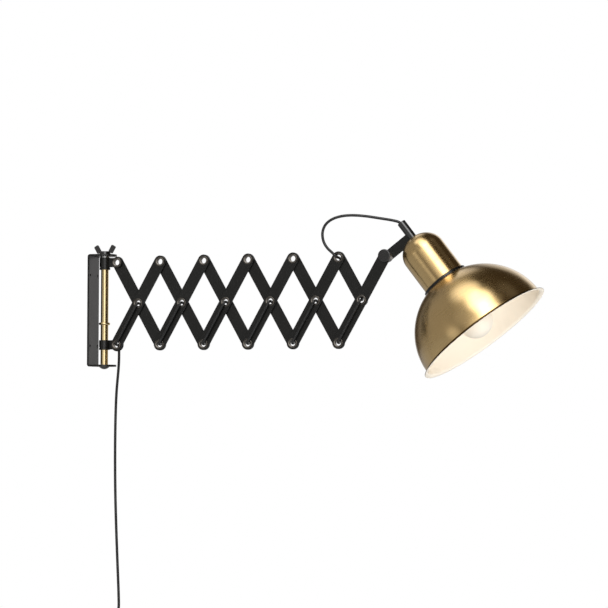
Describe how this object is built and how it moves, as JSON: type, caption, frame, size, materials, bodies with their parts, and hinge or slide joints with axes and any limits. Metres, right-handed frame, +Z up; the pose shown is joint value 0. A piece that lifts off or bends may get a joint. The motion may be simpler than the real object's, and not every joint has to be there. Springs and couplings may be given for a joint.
{
  "type": "accordion wall lamp",
  "caption": "Scissor-arm wall lamp: a spun brass dome shade on a folding arm of black flat bars that swivels on a bent wall bracket.",
  "frame": {"origin": "on the wall, at the middle of the bracket's back face", "axes": "+X out of the wall along the arm, +Z up, -Y towards the front layer of bars"},
  "size_m": [0.7224, 0.22, 0.7592],
  "materials": {
    "black_enamel": "satin black enamel",
    "gloss_black": "gloss black",
    "brass": "satin brushed brass, clear lacquer",
    "nickel": "satin nickel plate",
    "zinc": "zinc plated steel",
    "bush": "matt black nylon",
    "holder": "cream phenolic",
    "bulb_glass": "opal glass",
    "bulb_cap": "plain screw cap",
    "cord": "black cord",
    "tie": "soft black band",
    "plug": "moulded black plug",
    "pins": "nickel brass pins"
  },
  "bodies": {
    "wall_frame": {"wall_bracket": "black_enamel", "post_tube": "brass", "pivot_bolt": "gloss_black", "stop_ring": "black_enamel", "bracket_washer": "nickel"},
    "wing_nut": {"wing_nut": "gloss_black"},
    "arm_swivel": {"upper_collar": "black_enamel", "rivet_collar": "nickel"},
    "falling_bar_1": {"falling_bar_1": "black_enamel", "cord_back_1": "cord"},
    "rising_bar_1": {"rising_bar_1": "black_enamel", "rivets_1": "nickel", "cord_front_1": "cord"},
    "falling_bar_2": {"falling_bar_2": "black_enamel", "cord_back_2": "cord"},
    "rising_bar_2": {"rising_bar_2": "black_enamel", "rivets_2": "nickel", "cord_front_2": "cord"},
    "falling_bar_3": {"falling_bar_3": "black_enamel", "cord_back_3": "cord"},
    "rising_bar_3": {"rising_bar_3": "black_enamel", "rivets_3": "nickel", "cord_front_3": "cord"},
    "falling_bar_4": {"falling_bar_4": "black_enamel", "cord_back_4": "cord"},
    "rising_bar_4": {"rising_bar_4": "black_enamel", "rivets_4": "nickel", "cord_front_4": "cord"},
    "falling_bar_5": {"falling_bar_5": "black_enamel", "cord_back_5": "cord"},
    "rising_bar_5": {"rising_bar_5": "black_enamel", "rivets_5": "nickel", "cord_front_5": "cord"},
    "falling_bar_6": {"falling_bar_6": "black_enamel", "cord_back_6": "cord"},
    "rising_bar_6": {"rising_bar_6": "black_enamel", "rivets_6": "nickel", "cord_front_6": "cord"},
    "lower_slide": {"lower_collar": "black_enamel", "cord_tail": "cord", "cord_coil": "cord", "coil_ties": "tie", "plug_body": "plug", "plug_pins": "pins"},
    "knob": {"knuckle_knob": "gloss_black"},
    "head": {"head_strap": "black_enamel", "knuckle_spacer": "nickel", "knuckle_nut": "nickel", "stem_tube": "gloss_black", "stem_bush": "bush", "stem_nipple": "zinc", "neck_cap": "brass", "neck_nut": "zinc", "neck_ring": "black_enamel", "shade": "brass", "lamp_holder": "holder", "holder_ring": "holder", "bulb_glass": "bulb_glass", "bulb_cap": "bulb_cap", "cord_loop": "cord"}
  },
  "joints": [
    {"name": "wing_nut_turn", "type": "hinge", "parent": "wall_frame", "child": "wing_nut", "pos_m": [0.0215, 0, 0.08875], "axis": [0, 0, 1], "continuous": true},
    {"name": "arm_swivel", "type": "hinge", "parent": "wall_frame", "child": "arm_swivel", "pos_m": [0.0215, 0, 0.07575], "axis": [0, 0, 1], "range_deg": [-60, 60]},
    {"name": "arm_fold", "type": "hinge", "parent": "arm_swivel", "child": "falling_bar_1", "pos_m": [0.043, 0, 0.07575], "axis": [0, -1, 0], "range_deg": [-21, 14.5]},
    {"name": "fold_rising_1", "type": "hinge", "parent": "falling_bar_1", "child": "rising_bar_1", "pos_m": [0.07975, 0, 0.01075], "axis": [0, -1, 0], "range_deg": [-29, 42]},
    {"name": "fold_rising_2", "type": "hinge", "parent": "falling_bar_1", "child": "rising_bar_2", "pos_m": [0.1165, 0, -0.05425], "axis": [0, -1, 0], "range_deg": [-29, 42]},
    {"name": "fold_lower_collar", "type": "hinge", "parent": "rising_bar_1", "child": "lower_slide", "pos_m": [0.043, 0, -0.05425], "axis": [0, -1, 0], "range_deg": [-21, 14.5]},
    {"name": "fold_falling_2", "type": "hinge", "parent": "rising_bar_2", "child": "falling_bar_2", "pos_m": [0.15325, 0, 0.01075], "axis": [0, -1, 0], "range_deg": [-42, 29]},
    {"name": "fold_falling_3", "type": "hinge", "parent": "rising_bar_2", "child": "falling_bar_3", "pos_m": [0.19, 0, 0.07575], "axis": [0, -1, 0], "range_deg": [-42, 29]},
    {"name": "fold_rising_3", "type": "hinge", "parent": "falling_bar_3", "child": "rising_bar_3", "pos_m": [0.22675, 0, 0.01075], "axis": [0, -1, 0], "range_deg": [-29, 42]},
    {"name": "fold_rising_4", "type": "hinge", "parent": "falling_bar_3", "child": "rising_bar_4", "pos_m": [0.2635, 0, -0.05425], "axis": [0, -1, 0], "range_deg": [-29, 42]},
    {"name": "fold_falling_4", "type": "hinge", "parent": "rising_bar_4", "child": "falling_bar_4", "pos_m": [0.30025, 0, 0.01075], "axis": [0, -1, 0], "range_deg": [-42, 29]},
    {"name": "fold_falling_5", "type": "hinge", "parent": "rising_bar_4", "child": "falling_bar_5", "pos_m": [0.337, 0, 0.07575], "axis": [0, -1, 0], "range_deg": [-42, 29]},
    {"name": "fold_rising_5", "type": "hinge", "parent": "falling_bar_5", "child": "rising_bar_5", "pos_m": [0.37375, 0, 0.01075], "axis": [0, -1, 0], "range_deg": [-29, 42]},
    {"name": "fold_rising_6", "type": "hinge", "parent": "falling_bar_5", "child": "rising_bar_6", "pos_m": [0.4105, 0, -0.05425], "axis": [0, -1, 0], "range_deg": [-29, 42]},
    {"name": "fold_falling_6", "type": "hinge", "parent": "rising_bar_6", "child": "falling_bar_6", "pos_m": [0.44725, 0, 0.01075], "axis": [0, -1, 0], "range_deg": [-42, 29]},
    {"name": "head_tilt", "type": "hinge", "parent": "rising_bar_6", "child": "head", "pos_m": [0.48466, 0, 0.07691], "axis": [0, -1, 0], "range_deg": [-40, 75], "deforming": ["cord_loop"]},
    {"name": "knob_turn", "type": "hinge", "parent": "rising_bar_6", "child": "knob", "pos_m": [0.48466, 0, 0.07691], "axis": [0, 1, 0], "continuous": true}
  ],
  "couplings": [
    {"joint": "fold_rising_1", "follows": "arm_fold", "ratio": -2},
    {"joint": "fold_rising_2", "follows": "arm_fold", "ratio": -2},
    {"joint": "fold_lower_collar", "follows": "arm_fold", "ratio": 1},
    {"joint": "fold_falling_2", "follows": "arm_fold", "ratio": 2},
    {"joint": "fold_falling_3", "follows": "arm_fold", "ratio": 2},
    {"joint": "fold_rising_3", "follows": "arm_fold", "ratio": -2},
    {"joint": "fold_rising_4", "follows": "arm_fold", "ratio": -2},
    {"joint": "fold_falling_4", "follows": "arm_fold", "ratio": 2},
    {"joint": "fold_falling_5", "follows": "arm_fold", "ratio": 2},
    {"joint": "fold_rising_5", "follows": "arm_fold", "ratio": -2},
    {"joint": "fold_rising_6", "follows": "arm_fold", "ratio": -2},
    {"joint": "fold_falling_6", "follows": "arm_fold", "ratio": 2}
  ]
}
